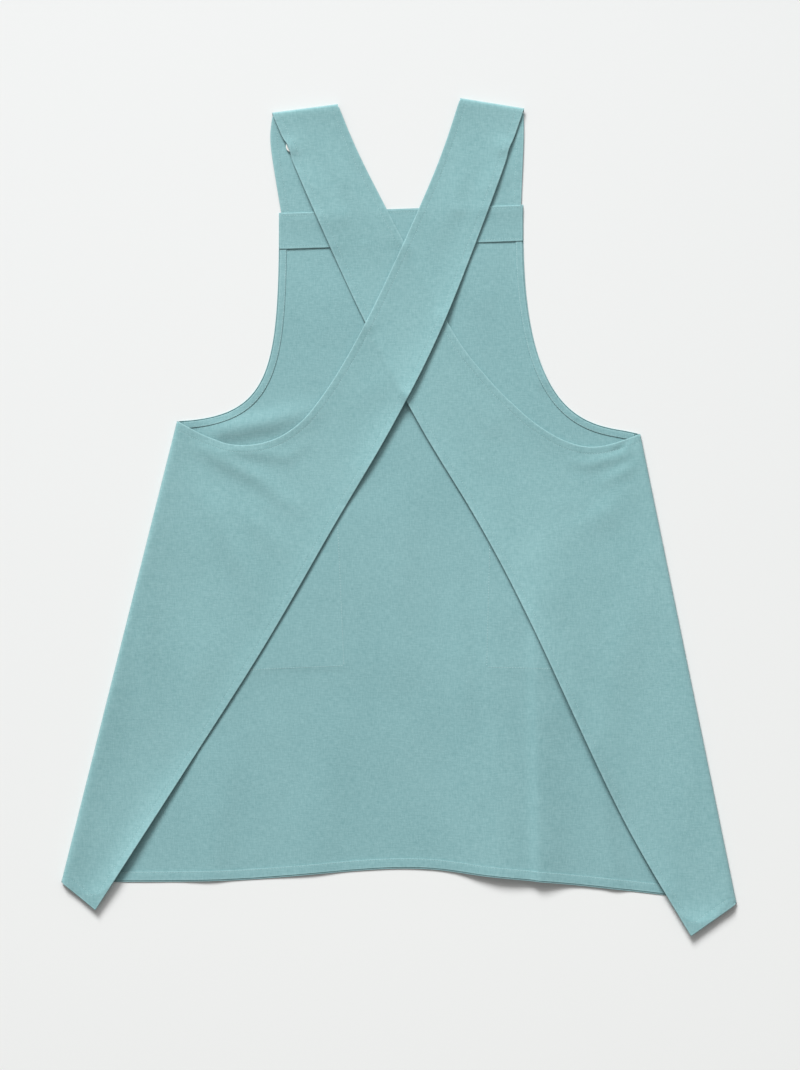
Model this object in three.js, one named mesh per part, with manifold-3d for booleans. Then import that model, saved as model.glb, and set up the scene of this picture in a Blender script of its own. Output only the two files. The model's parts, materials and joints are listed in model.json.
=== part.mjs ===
// Cross-back artist's apron in light canvas, laid flat on its face.
// The front panel is lowest. The two back wings, each cut in one with its shoulder strap, are folded over
// onto it along the side folds, and the left wing's strap crosses on top of the right wing's strap.
// Millimetres, +Z up from the table, +Y towards the shoulders, +X to the right. "left" and "right" are the
// sides of this view. Heights along the garment are measured from the front hem until the last lines,
// which move the whole apron so that its origin is under the middle of its box.
import * as THREE from "three";
import { mergeVertices } from "three/addons/utils/BufferGeometryUtils.js";
import Module from "manifold-3d";

const wasm = await Module();
wasm.setup();

// ---------------------------------------------------------------- driving dimensions

// Layers
const CLOTH = 1.1; // one layer of canvas, with the air it holds when it lies loose
const TURNING = 0.8; // a turned edge, pressed and stitched
const GAP = 0.3; // air between neighbouring pieces

// Front panel
const HEM_HALF = 391; // centre line to side fold, at the hem
const UNDERARM_HALF = 266; // centre line to side fold, under the arm
const SKIRT_LENGTH = 509; // hem to underarm
const BIB_HEIGHT = 253; // underarm to top of bib
const BIB_HALF = 141; // centre line to side of bib
const ARMHOLE_DEPTH = 235; // height of the front armhole's curve

// Straps
const STRAP_WIDTH = 76;
const STRAP_RISE = 118; // top of bib to shoulder fold
const SHOULDER_HALF = 146; // centre line to the strap's outer edge, at the shoulder
const STRAP_TAIL = 10; // end of a front strap, sewn in between bib and facing
const STRAP_INSET = 2.5; // side of the bib to side of the strap, taken up by the seam

// Turned edges and facing
const EDGE_TURN = 9; // narrow hem round the armholes, straps and back edges
const HEM_TURN = 12; // hem along the bottom
const FACING_DEPTH = 42; // band inside the top of the bib
const EDGE_INSET = 0.5; // a turned edge held back from the fold that makes it

// Pockets
const POCKET_WIDTH = 170;
const POCKET_HEIGHT = 195;
const POCKET_BOTTOM = 228; // above the hem
const POCKET_SPACING = 168; // between the two pockets
const POCKET_ROOM = 0.4; // room round a pocket, inside the cloth raised over it
const POCKET_RIM = 3; // how far the raised cloth reaches past that room

// Buttons
const BUTTON_DIAMETER = 13;
const BUTTON_THICKNESS = 1.8;
const BUTTON_RIM = 1.8; // width of the raised rim
const BUTTON_DISH = 0.5; // depth of the dish inside the rim
const BUTTON_ROUND = 0.4; // rounding of its edges
const BUTTON_INSET = 22.5; // outer edge of the front strap to the button's middle
const BUTTON_DROP = 45; // shoulder to the button's middle
const HOLE_DIAMETER = 1.7;
const HOLE_SPACING = 2.8; // between the four holes' middles
const THREAD_DIAMETER = 1.0; // the strands through one hole
const STITCH_HEIGHT = 0.5; // the strands that cross from hole to hole
const SHANK_DIAMETER = 5.4; // foot of the sewing, under the button
const SHANK_HEIGHT = 0.6;

// How each side lies: its small departures from the even pattern, [right, up], as soft cloth settles on a
// table. A bow is [share of the way along, shift to the right] from the straight line between two points.
// An armhole's pull is [share of its depth, share of its width, share of its depth] for the two points that
// its curve is drawn towards.
const LIE = {
  left: {
    underarm: [9, 8],
    hem: [0, -17],
    bottomEdge: [39.5, -32], // hem corner to the wing's tip
    bib: [2, -3.5],
    armholePull: [0.24, 0.08, 0.02],
    shoulder: [-1, -6],
    neck: [-1, 4],
    backLevel: -9, // where the wing's back edge passes the underarm's height
    upperBows: [[0.31, 7], [0.7, 10]],
    lowerBows: [[0.2, 3], [0.45, 8], [0.7, 5]],
    strapBows: [[0.28, 8], [0.73, 7]],
    scoop: [[28, -15], [56, -25.5], [70, -28], [98, -25.5], [126, -14], [154, 10.5], [192, 66]],
    pocketTurn: 2.5,
    frontStrapBow: -5,
    button: [-1, 0],
  },
  right: {
    underarm: [13.5, -7],
    hem: [0, -42],
    bottomEdge: [-53, -37],
    bib: [3, 6],
    armholePull: [-0.04, 0.7, 0.055],
    shoulder: [-1, -1],
    neck: [1, 11],
    backLevel: 26,
    upperBows: [[0.31, -5], [0.66, -7]],
    lowerBows: [[0.19, 8], [0.38, 7], [0.76, -6.5]],
    strapBows: [[0.25, -8], [0.81, -10]],
    scoop: [[28, -10], [56, -15], [84, -9], [112, 6], [140, 28], [181, 70]],
    pocketTurn: -1.5,
    frontStrapBow: 1,
    button: [-3.5, 0],
  },
};
const POCKETS_SHIFT = 18; // the front lies this far to the right between its side folds
const HEM_BOWS = [[0.25, 8], [0.5, 28], [0.64, 22], [0.82, 12]]; // [share of the way, rise] of the hem

const CURVE_STEPS = 36; // flat facets along a long curved edge
const ARC_STEPS = 5; // flat facets round a quarter of a soft fold
const BUTTON_STEPS = 36; // flat facets round a button
const THREAD_STEPS = 10; // flat facets round a strand
const OVERLAP = 0.4; // how far two pieces of one solid reach into each other before they are joined
const FAR = 2000; // longer than the apron

// ---------------------------------------------------------------- levels, lowest layer first

const bibY = SKIRT_LENGTH + BIB_HEIGHT;
const shoulderY = bibY + STRAP_RISE;
const bumpBottom = CLOTH + GAP; // the panel is raised over each pocket by the pocket's cloth
const bumpTop = bumpBottom + CLOTH;
const innerBottom = CLOTH + GAP; // turned edges and front straps lie on the panel
const strapTop = innerBottom + CLOTH;
const facingBottom = strapTop + GAP;
const facingTop = facingBottom + TURNING;
const threadBottom = strapTop + GAP;
const buttonBottom = threadBottom + SHANK_HEIGHT + GAP;
const buttonTop = buttonBottom + BUTTON_THICKNESS;
const stitchBottom = buttonTop - BUTTON_DISH + GAP;
const stitchTop = stitchBottom + STITCH_HEIGHT;

// A wing's turned edges are under it. The right wing lies on the facing, the buttons and the pockets, and
// the left wing lies on the right wing.
const edgeLevel = { right: Math.max(facingTop, buttonTop, stitchTop, bumpTop) + GAP };
edgeLevel.left = edgeLevel.right + TURNING + GAP + CLOTH + GAP;
const wingBottom = (side) => edgeLevel[side] + TURNING + GAP;
const wingTop = (side) => wingBottom(side) + CLOTH;
const foldRadius = (side) => wingTop(side) / 2; // the side fold curls up from the table to the wing's top

// ---------------------------------------------------------------- points and edges of the outline

const SIDES = ["left", "right"];
const SIGN = { left: -1, right: 1 };
const ACROSS = { left: "right", right: "left" }; // the shoulder that a wing's strap reaches

const point = (x, y, [dx, dy] = [0, 0]) => new THREE.Vector2(x + dx, y + dy);
const underarm = (side) => point(SIGN[side] * UNDERARM_HALF, SKIRT_LENGTH, LIE[side].underarm);
const hemCorner = (side) => point(SIGN[side] * HEM_HALF, 0, LIE[side].hem);
const bibCorner = (side) => point(SIGN[side] * BIB_HALF, bibY, LIE[side].bib);
const shoulderOuter = (side) => point(SIGN[side] * SHOULDER_HALF, shoulderY, LIE[side].shoulder);
const shoulderNeck = (side) => point(SIGN[side] * (SHOULDER_HALF - STRAP_WIDTH), shoulderY, LIE[side].neck);
const wingTip = (side) => point(hemCorner(side).x, hemCorner(side).y, LIE[side].bottomEdge);

// From a to b, bowed to the right or left on the way; the last point is left out, for the next edge.
function bowed(a, b, bows) {
  return [a, ...bows.map(([share, shift]) => a.clone().lerp(b, share).add(point(shift, 0)))];
}

// Evenly spaced points on a smooth curve through these.
function smooth(points, steps = CURVE_STEPS) {
  return new THREE.SplineCurve(points).getSpacedPoints(steps);
}

// Shoulder to wing tip: the strap's inner edge, which runs on as the wing's back edge.
function backEdge(side) {
  const start = shoulderOuter(ACROSS[side]);
  const level = point(LIE[side].backLevel, SKIRT_LENGTH);
  const tip = wingTip(side);
  const strap = bowed(start, level, LIE[side].upperBows);
  return smooth([...strap, ...bowed(level, tip, LIE[side].lowerBows), tip]);
}

// Underarm to neck: the wing's armhole, which runs on as the strap's other edge.
function armEdge(side) {
  const start = underarm(side);
  const scoop = LIE[side].scoop.map(([inward, up]) => point(start.x, start.y, [-SIGN[side] * inward, up]));
  const neck = shoulderNeck(ACROSS[side]);
  const strap = bowed(neck, scoop[scoop.length - 1], LIE[side].strapBows).reverse();
  return smooth([start, ...scoop, ...strap]);
}

// Top of the bib to underarm: the front armhole.
function frontArmhole(side) {
  const top = bibCorner(side);
  const end = underarm(side);
  const [down, out, up] = LIE[side].armholePull;
  const curve = new THREE.CubicBezierCurve(
    point(top.x, end.y + ARMHOLE_DEPTH),
    point(top.x, end.y + down * ARMHOLE_DEPTH),
    point(THREE.MathUtils.lerp(top.x, end.x, out), end.y + up * ARMHOLE_DEPTH),
    end,
  );
  return [top, ...curve.getSpacedPoints(CURVE_STEPS / 2)];
}

// Left hem corner to right hem corner: the front hem, which hangs in a shallow curve.
function hemLine() {
  const [left, right] = [hemCorner("left"), hemCorner("right")];
  const inner = HEM_BOWS.map(([share, rise]) => left.clone().lerp(right, share).add(point(0, rise)));
  return smooth([left, ...inner, right]);
}

// The side fold's line: a point on its crest, the way along it, and the way in to the wing.
function sideFold(side) {
  const [low, high] = [hemCorner(side), underarm(side)];
  const up = high.clone().sub(low).normalize();
  const inward = new THREE.Vector2(-SIGN[side] * up.y, SIGN[side] * up.x);
  return { middle: low.clone().lerp(high, 0.5), inward };
}

// The shoulder fold's line, from its outer end, and the way down the strap from it.
function shoulderFold(side) {
  const [outer, neck] = [shoulderOuter(side), shoulderNeck(side)];
  const along = neck.clone().sub(outer).normalize();
  const inward = new THREE.Vector2(-along.y, along.x).multiplyScalar(side === "left" ? -1 : 1);
  return { outer, neck, middle: outer.clone().lerp(neck, 0.5), inward, width: outer.distanceTo(neck) };
}

const depthInside = (fold, p) => p.clone().sub(fold.middle).dot(fold.inward);

// ---------------------------------------------------------------- solids

// A flat piece of cloth with this outline, between two heights.
function flatPiece(outline, bottom, top) {
  const shape = new THREE.Shape(outline);
  const geometry = new THREE.ExtrudeGeometry(shape, { depth: top - bottom, bevelEnabled: false });
  return geometry.translate(0, 0, bottom);
}

// A profile drawn as [inward from a fold's crest, height], run along the fold for this length.
function alongFold(shape, fold, length) {
  const options = { depth: length, bevelEnabled: false, curveSegments: ARC_STEPS };
  const geometry = new THREE.ExtrudeGeometry(shape, options);
  const inward = new THREE.Vector3(fold.inward.x, fold.inward.y, 0);
  const up = new THREE.Vector3(0, 0, 1);
  const run = inward.clone().cross(up);
  const place = new THREE.Matrix4().makeBasis(inward, up, run);
  place.setPosition(fold.middle.x, fold.middle.y, 0);
  return geometry.translate(0, 0, -length / 2).applyMatrix4(place);
}

function toSolid(geometry) {
  const bare = geometry.index ? geometry.toNonIndexed() : geometry.clone();
  bare.deleteAttribute("normal");
  bare.deleteAttribute("uv");
  const merged = mergeVertices(bare, 1e-4);
  const mesh = new wasm.Mesh({
    numProp: 3,
    vertProperties: new Float32Array(merged.attributes.position.array),
    triVerts: new Uint32Array(merged.index.array),
  });
  return new wasm.Manifold(mesh);
}

function toGeometry(solid) {
  const mesh = solid.getMesh();
  const geometry = new THREE.BufferGeometry();
  geometry.setAttribute("position", new THREE.BufferAttribute(new Float32Array(mesh.vertProperties), 3));
  geometry.setIndex(new THREE.BufferAttribute(new Uint32Array(mesh.triVerts), 1));
  geometry.computeVertexNormals();
  return geometry;
}

const prism = (outline, bottom, top) => toSolid(flatPiece(outline, bottom, top));

// The band beside a side fold, out to where its curl meets the flat cloth.
function foldBand(side) {
  const band = new THREE.Shape();
  const reach = foldRadius(side);
  band.moveTo(-FAR, -FAR).lineTo(reach, -FAR).lineTo(reach, FAR).lineTo(-FAR, FAR).closePath();
  return toSolid(alongFold(band, sideFold(side), FAR));
}

// A quarter of the curl at a side fold: the lower quarter belongs to the panel and the upper one to the
// wing, and they part along the crest, where the cloth bends when the wing is opened.
function sideCurl(side, upper) {
  const radius = foldRadius(side);
  const part = (upper ? 1 : -1) * Math.asin(GAP / 2 / (radius - CLOTH));
  const half = upper ? Math.PI / 2 : (3 * Math.PI) / 2;
  const height = upper ? 2 * radius : 0;
  const inner = upper ? height - CLOTH : CLOTH;
  const curl = new THREE.Shape();
  curl.absarc(radius, radius, radius, Math.PI - part, half, upper);
  curl.lineTo(radius + OVERLAP, height);
  curl.lineTo(radius + OVERLAP, inner);
  curl.absarc(radius, radius, radius - CLOTH, half, Math.PI - part, !upper);
  curl.closePath();
  return toSolid(alongFold(curl, sideFold(side), FAR));
}

// ---------------------------------------------------------------- canvas pieces

const CANVAS = 0x8fb8bc;
const CANVAS_INSIDE = 0x86aeb3;
const BUTTON_COLOUR = 0xf2efe6;
const THREAD_COLOUR = 0xa9cccd;

const apron = new THREE.Group();
apron.name = "apron";

function addPiece(name, geometry, color, roughness = 0.9) {
  const material = new THREE.MeshStandardMaterial({ color, roughness, metalness: 0 });
  const mesh = new THREE.Mesh(geometry, material);
  mesh.name = name;
  apron.add(mesh);
  return mesh;
}

function pocketOutline(side, margin) {
  const turn = THREE.MathUtils.degToRad(LIE[side].pocketTurn);
  const middle = point(
    POCKETS_SHIFT + (SIGN[side] * (POCKET_SPACING + POCKET_WIDTH)) / 2,
    POCKET_BOTTOM + POCKET_HEIGHT / 2,
  );
  const [x, y] = [POCKET_WIDTH / 2 + margin, POCKET_HEIGHT / 2 + margin];
  const corners = [point(-x, -y), point(x, -y), point(x, y), point(-x, y)];
  return corners.map((corner) => corner.rotateAround(new THREE.Vector2(), turn).add(middle));
}

// Front panel: skirt and bib in one, raised over the pockets and curled up at the side folds.
function frontPanel() {
  const outline = [...frontArmhole("right"), ...hemLine().reverse(), ...frontArmhole("left").reverse()];
  const whole = prism(outline, -GAP, wingTop("left"));
  let flat = prism(outline, 0, CLOTH);
  for (const side of SIDES) {
    flat = flat.subtract(foldBand(side));
  }
  let panel = flat;
  for (const side of SIDES) {
    panel = panel.add(whole.intersect(sideCurl(side, false)));
    panel = panel.add(prism(pocketOutline(side, POCKET_ROOM + POCKET_RIM), 0, bumpTop));
    panel = panel.subtract(prism(pocketOutline(side, POCKET_ROOM), -GAP, bumpBottom));
  }
  return toGeometry(panel);
}

// Back wing and its strap in one, curled down at the side fold and over the shoulder.
function backWing(side) {
  const shoulder = shoulderFold(ACROSS[side]);
  const curlRadius = (wingTop(side) - innerBottom) / 2;
  const outline = [...backEdge(side), hemCorner(side), ...armEdge(side)];
  const whole = prism(outline, 0, wingTop(side));
  const strapEnd = new THREE.Shape();
  strapEnd.moveTo(-FAR, -FAR).lineTo(curlRadius, -FAR).lineTo(curlRadius, FAR).lineTo(-FAR, FAR).closePath();
  const endBand = toSolid(alongFold(strapEnd, shoulder, FAR));
  const flat = prism(outline, wingBottom(side), wingTop(side)).subtract(foldBand(side)).subtract(endBand);

  const centre = innerBottom + curlRadius;
  const over = new THREE.Shape();
  over.absarc(curlRadius, centre, curlRadius, -Math.PI / 2, Math.PI / 2, true);
  over.lineTo(curlRadius + OVERLAP, wingTop(side));
  over.lineTo(curlRadius + OVERLAP, wingBottom(side));
  over.absarc(curlRadius, centre, curlRadius - CLOTH, Math.PI / 2, -Math.PI / 2, false);
  over.closePath();
  const overShoulder = toSolid(alongFold(over, shoulder, FAR)).intersect(whole);
  return toGeometry(flat.add(whole.intersect(sideCurl(side, true))).add(overShoulder));
}

// A turned edge: a band inside a run of edge points, cut off where its room runs out.
function turnedEdge(points, width, inward, room) {
  const across = points.map((p, i) => {
    const before = points[Math.max(i - 1, 0)];
    const after = points[Math.min(i + 1, points.length - 1)];
    const along = after.clone().sub(before).normalize();
    const inside = new THREE.Vector2(-along.y, along.x).multiplyScalar(inward);
    return [EDGE_INSET, EDGE_INSET + width].map((amount) => p.clone().addScaledVector(inside, amount));
  });
  const left = across.map((pair) => Math.min(...pair.map(room)));
  const kept = [];
  across.forEach((pair, i) => {
    if (i > 0 && left[i - 1] * left[i] < 0) {
      const share = left[i - 1] / (left[i - 1] - left[i]);
      kept.push(across[i - 1].map((p, k) => p.clone().lerp(pair[k], share)));
    }
    if (left[i] > 0) {
      kept.push(pair);
    }
  });
  return [...kept.map((pair) => pair[0]), ...kept.map((pair) => pair[1]).reverse()];
}

// Room between a point and the curl at a side fold.
const offSideCurl = (side, p) => depthInside(sideFold(side), p) - (foldRadius(side) + CLOTH);

function frontArmholeTurn(side) {
  const top = bibY + LIE[side].bib[1] - STRAP_TAIL - CLOTH;
  const room = (p) => Math.min(top - p.y, offSideCurl(side, p));
  return turnedEdge(frontArmhole(side), EDGE_TURN, -SIGN[side], room);
}

function frontHemTurn() {
  const room = (p) => Math.min(...SIDES.map((side) => offSideCurl(side, p)));
  return turnedEdge(hemLine(), HEM_TURN, 1, room);
}

const shoulderCurl = (side) => (wingTop(side) - innerBottom) / 2; // radius of a strap's bend at the shoulder
function offShoulderCurl(side, p) {
  return depthInside(shoulderFold(ACROSS[side]), p) - (shoulderCurl(side) + CLOTH);
}

function armTurn(side) {
  const room = (p) => Math.min(offSideCurl(side, p), offShoulderCurl(side, p));
  return turnedEdge(armEdge(side), EDGE_TURN, SIGN[side], room);
}

function backTurn(side) {
  const [corner, tip] = [hemCorner(side), wingTip(side)];
  const bottom = tip.clone().sub(corner).normalize();
  const up = new THREE.Vector2(-bottom.y, bottom.x).multiplyScalar(-SIGN[side]);
  const bottomHem = EDGE_INSET + HEM_TURN + CLOTH;
  const room = (p) => Math.min(p.clone().sub(corner).dot(up) - bottomHem, offShoulderCurl(side, p));
  return turnedEdge(backEdge(side), EDGE_TURN, SIGN[side], room);
}

function wingHemTurn(side) {
  const [corner, tip] = [hemCorner(side), wingTip(side)];
  const end = tip.clone().lerp(corner, EDGE_INSET / corner.distanceTo(tip));
  return turnedEdge([corner, end], HEM_TURN, -SIGN[side], (p) => offSideCurl(side, p));
}

// Front strap: from the seam at the top of the bib up to the shoulder, where it meets the wing's strap.
function frontStrap(side) {
  const fold = shoulderFold(side);
  const end = fold.inward.clone().multiplyScalar(shoulderCurl(ACROSS[side]) + GAP);
  const outerTop = fold.outer.clone().add(end);
  const seam = bibCorner(side);
  seam.x -= SIGN[side] * STRAP_INSET;
  const tail = seam.y - STRAP_TAIL;
  const outer = [...bowed(outerTop, seam, [[0.3, LIE[side].frontStrapBow]]), seam, point(seam.x, tail)];
  const innerX = seam.x - SIGN[side] * STRAP_WIDTH;
  return [...smooth(outer, CURVE_STEPS / 3), point(innerX, tail), fold.neck.clone().add(end)];
}

// Facing: the band inside the top of the bib, which holds the front straps' ends.
function facing() {
  const corner = (side, drop) => bibCorner(side).add(point(-SIGN[side] * EDGE_INSET, -drop));
  const drops = [EDGE_INSET, FACING_DEPTH];
  const [top, bottom] = drops.map((drop) => SIDES.map((side) => corner(side, drop)));
  return [bottom[0], bottom[1], top[1], top[0]];
}

function addTurnedEdge(name, outline, bottom) {
  addPiece(name, flatPiece(outline, bottom, bottom + TURNING), CANVAS);
}

addPiece("front_panel", frontPanel(), CANVAS_INSIDE);
addPiece("bib_facing", flatPiece(facing(), facingBottom, facingTop), CANVAS);
addTurnedEdge("front_hem", frontHemTurn(), innerBottom);
for (const side of SIDES) {
  const under = edgeLevel[side];
  addPiece(`${side}_front_strap`, flatPiece(frontStrap(side), innerBottom, strapTop), CANVAS_INSIDE);
  addPiece(`${side}_pocket`, flatPiece(pocketOutline(side, 0), 0, CLOTH), CANVAS);
  addTurnedEdge(`${side}_front_armhole_hem`, frontArmholeTurn(side), innerBottom);
  addPiece(`${side}_back_wing`, backWing(side), CANVAS);
  addTurnedEdge(`${side}_wing_armhole_hem`, armTurn(side), under);
  addTurnedEdge(`${side}_wing_back_hem`, backTurn(side), under);
  addTurnedEdge(`${side}_wing_bottom_hem`, wingHemTurn(side), under);
}

// ---------------------------------------------------------------- buttons

const CORNERS = [[-1, -1], [1, -1], [1, 1], [-1, 1]];
const HOLES = CORNERS.map(([x, y]) => [(x * HOLE_SPACING) / 2, (y * HOLE_SPACING) / 2]);

function upright(radius, bottom, top, steps, x = 0, y = 0) {
  const post = new THREE.CylinderGeometry(radius, radius, top - bottom, steps);
  return toSolid(post.rotateX(Math.PI / 2).translate(x, y, (bottom + top) / 2));
}

// A round dished button with a raised rim and four holes.
function buttonGeometry() {
  const radius = BUTTON_DIAMETER / 2;
  const dish = radius - BUTTON_RIM;
  const profile = [
    [0, 0],
    [radius - BUTTON_ROUND, 0],
    [radius, BUTTON_ROUND],
    [radius, BUTTON_THICKNESS - BUTTON_ROUND],
    [radius - BUTTON_ROUND, BUTTON_THICKNESS],
    [dish + BUTTON_DISH, BUTTON_THICKNESS],
    [dish, BUTTON_THICKNESS - BUTTON_DISH],
    [0, BUTTON_THICKNESS - BUTTON_DISH],
  ].map(([r, z]) => new THREE.Vector2(r, z));
  let disc = toSolid(new THREE.LatheGeometry(profile, BUTTON_STEPS).rotateX(Math.PI / 2));
  for (const [x, y] of HOLES) {
    disc = disc.subtract(upright(HOLE_DIAMETER / 2, -GAP, BUTTON_THICKNESS, THREAD_STEPS, x, y));
  }
  return toGeometry(disc).translate(0, 0, buttonBottom);
}

// The sewing: a wound foot under the button, a strand up each hole, and two stitches across the dish.
function buttonThreadGeometry() {
  let sewing = upright(SHANK_DIAMETER / 2, threadBottom, threadBottom + SHANK_HEIGHT, BUTTON_STEPS);
  for (const [x, y] of HOLES) {
    sewing = sewing.add(upright(THREAD_DIAMETER / 2, threadBottom, stitchTop, THREAD_STEPS, x, y));
  }
  for (const y of [-HOLE_SPACING / 2, HOLE_SPACING / 2]) {
    const stitch = new THREE.BoxGeometry(HOLE_SPACING, THREAD_DIAMETER * 0.8, STITCH_HEIGHT);
    sewing = sewing.add(toSolid(stitch.translate(0, y, stitchBottom + STITCH_HEIGHT / 2)));
  }
  return toGeometry(sewing);
}

for (const side of SIDES) {
  const place = point(SIGN[side] * (SHOULDER_HALF - BUTTON_INSET), shoulderY - BUTTON_DROP, LIE[side].button);
  const button = addPiece(`${side}_button`, buttonGeometry(), BUTTON_COLOUR, 0.35);
  const thread = addPiece(`${side}_button_thread`, buttonThreadGeometry(), THREAD_COLOUR, 0.8);
  for (const piece of [button, thread]) {
    piece.position.set(place.x, place.y, 0);
  }
}

// The origin is on the table, under the middle of the apron's box.
const box = new THREE.Box3().setFromObject(apron);
const centre = box.getCenter(new THREE.Vector3());
apron.position.set(-centre.x, -centre.y, -box.min.z);

export default apron;
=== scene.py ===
"""Cross-back artist's apron in light canvas, laid face down on a table with its back wings folded over.

The cloth is laid piece by piece, as a person lays it: pockets, front panel, turned edges, front straps,
facing, buttons, right wing, left wing. Each piece settles on what is already on the table.
Plans and heights are worked out in millimetres and become metres when a mesh is made.
"""

import bmesh
import bpy
import json
import math
import numpy as np
from mathutils import Matrix, Vector, geometry, kdtree


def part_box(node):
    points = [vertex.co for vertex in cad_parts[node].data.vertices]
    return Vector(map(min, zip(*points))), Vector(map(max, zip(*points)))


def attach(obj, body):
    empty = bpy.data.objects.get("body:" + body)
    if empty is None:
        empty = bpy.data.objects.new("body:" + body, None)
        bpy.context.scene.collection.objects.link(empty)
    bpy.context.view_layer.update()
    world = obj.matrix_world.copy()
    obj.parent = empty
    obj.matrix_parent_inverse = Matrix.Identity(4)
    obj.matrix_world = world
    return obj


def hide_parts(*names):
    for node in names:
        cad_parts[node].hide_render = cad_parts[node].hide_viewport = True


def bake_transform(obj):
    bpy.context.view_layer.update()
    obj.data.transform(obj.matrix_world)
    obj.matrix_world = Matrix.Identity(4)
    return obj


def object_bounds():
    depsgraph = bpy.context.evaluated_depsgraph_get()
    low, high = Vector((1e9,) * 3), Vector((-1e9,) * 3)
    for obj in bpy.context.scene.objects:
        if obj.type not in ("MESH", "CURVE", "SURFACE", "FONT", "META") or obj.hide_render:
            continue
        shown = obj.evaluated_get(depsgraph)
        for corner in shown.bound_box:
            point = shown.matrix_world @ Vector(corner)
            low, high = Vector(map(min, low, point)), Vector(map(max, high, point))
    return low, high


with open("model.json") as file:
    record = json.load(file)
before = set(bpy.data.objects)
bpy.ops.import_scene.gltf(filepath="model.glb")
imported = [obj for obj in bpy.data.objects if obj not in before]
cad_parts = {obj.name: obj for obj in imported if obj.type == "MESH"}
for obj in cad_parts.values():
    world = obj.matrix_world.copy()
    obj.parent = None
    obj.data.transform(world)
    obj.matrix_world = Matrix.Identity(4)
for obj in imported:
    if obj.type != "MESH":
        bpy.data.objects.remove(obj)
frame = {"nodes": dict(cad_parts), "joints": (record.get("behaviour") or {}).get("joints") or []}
cad_low, cad_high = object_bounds()

# ------------------------------------------------------------------ camera, table top and light
# The apron lies on a plain pale table. The camera looks straight down at it through a long lens, and a
# broad soft light comes from beyond the shoulders, so each edge has a short shadow on its hem side.

VIEW_MIDDLE = (0.0012, -0.0209)
VIEW_LENGTH = 1.2412  # length of table in view, shoulders to hem
VIEW_HEIGHT = 3.4

lens = bpy.data.cameras.new("overhead")
lens.sensor_width = 36
lens.lens = lens.sensor_width * VIEW_HEIGHT / VIEW_LENGTH
lens.dof.use_dof = False
camera = bpy.data.objects.new("overhead", lens)
camera.location = (*VIEW_MIDDLE, VIEW_HEIGHT)
bpy.context.scene.collection.objects.link(camera)
bpy.context.scene.camera = camera


def add_light(name, kind, place, power, colour):
    """A light that points at the middle of the table."""
    light = bpy.data.lights.new(name, kind)
    light.energy = power
    light.color = colour
    lamp = bpy.data.objects.new(name, light)
    lamp.location = place
    lamp.rotation_euler = (-Vector(place)).to_track_quat("-Z", "Y").to_euler()
    bpy.context.scene.collection.objects.link(lamp)
    return light


window = add_light("window", "SUN", (-0.9, 3.0, 2.15), 3.3, (0.985, 1.0, 0.998))
window.angle = math.radians(22)
fill = add_light("fill", "AREA", (-0.3, 1.7, 2.0), 26, (0.985, 1.0, 1.0))
fill.shape = "RECTANGLE"
fill.size = 2.6
fill.size_y = 1.6

world = bpy.data.worlds.new("studio")
world.use_nodes = True
world.node_tree.nodes["Background"].inputs["Color"].default_value = (1.0, 0.985, 0.96, 1)
world.node_tree.nodes["Background"].inputs["Strength"].default_value = 0.28
bpy.context.scene.world = world
bpy.context.scene.view_settings.view_transform = "Standard"


def new_material(name):
    """A material, its node tree and its shader."""
    made = bpy.data.materials.new(name)
    made.use_nodes = True
    return made, made.node_tree, made.node_tree.nodes["Principled BSDF"]


def node(tree, kind, **settings):
    """A new node with these settings."""
    made = tree.nodes.new(kind)
    for name, value in settings.items():
        setattr(made, name, value)
    return made


def math_node(tree, operation, first, second=0.0, clamp=False):
    """A Math node on two inputs, each a socket or a number; gives its output."""
    made = node(tree, "ShaderNodeMath", operation=operation, use_clamp=clamp)
    for socket, value in zip(made.inputs, (first, second)):
        if isinstance(value, (int, float)):
            socket.default_value = value
        else:
            tree.links.new(value, socket)
    return made.outputs[0]


def noise(tree, scale, detail=2.0, turn=0.0):
    """Noise on the piece's own coordinates, stretched by a scale for each axis; about 0.5 in the middle."""
    place = node(tree, "ShaderNodeTexCoord").outputs["Object"]
    mapping = node(tree, "ShaderNodeMapping")
    mapping.inputs["Rotation"].default_value = (0, 0, turn)
    mapping.inputs["Scale"].default_value = scale
    texture = node(tree, "ShaderNodeTexNoise")
    texture.inputs["Scale"].default_value = 1.0
    texture.inputs["Detail"].default_value = detail
    tree.links.new(place, mapping.inputs["Vector"])
    tree.links.new(mapping.outputs["Vector"], texture.inputs["Vector"])
    return texture.outputs["Fac"]


def two_tones(tree, share, dark, light):
    """A colour between two tones."""
    mix = node(tree, "ShaderNodeMix", data_type="RGBA")
    mix.inputs["A"].default_value = (*dark, 1)
    mix.inputs["B"].default_value = (*light, 1)
    tree.links.new(share, mix.inputs["Factor"])
    return mix.outputs["Result"]


def bump(tree, shader, height, depth):
    """Relief of that depth in metres, from a height of 0 to 1."""
    relief = node(tree, "ShaderNodeBump")
    relief.inputs["Strength"].default_value = 1.0
    relief.inputs["Distance"].default_value = depth
    tree.links.new(height, relief.inputs["Height"])
    tree.links.new(relief.outputs["Normal"], shader.inputs["Normal"])


# The table's colour is painted as a gradient, darker toward the shoulders and lighter toward the hem:
# painted shade and painted light that even out much of the light's fall across the table from the shoulders
# to the hem.
TABLE_SIZE = 18.0
TABLE_FAR, TABLE_NEAR = (0.735, 0.74, 0.742), (0.825, 0.828, 0.825)
TABLE_MIDDLE = 0.62  # the share of the near tone in the middle of the table
TABLE_GRADE = 0.8  # and how much it changes in a metre

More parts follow.
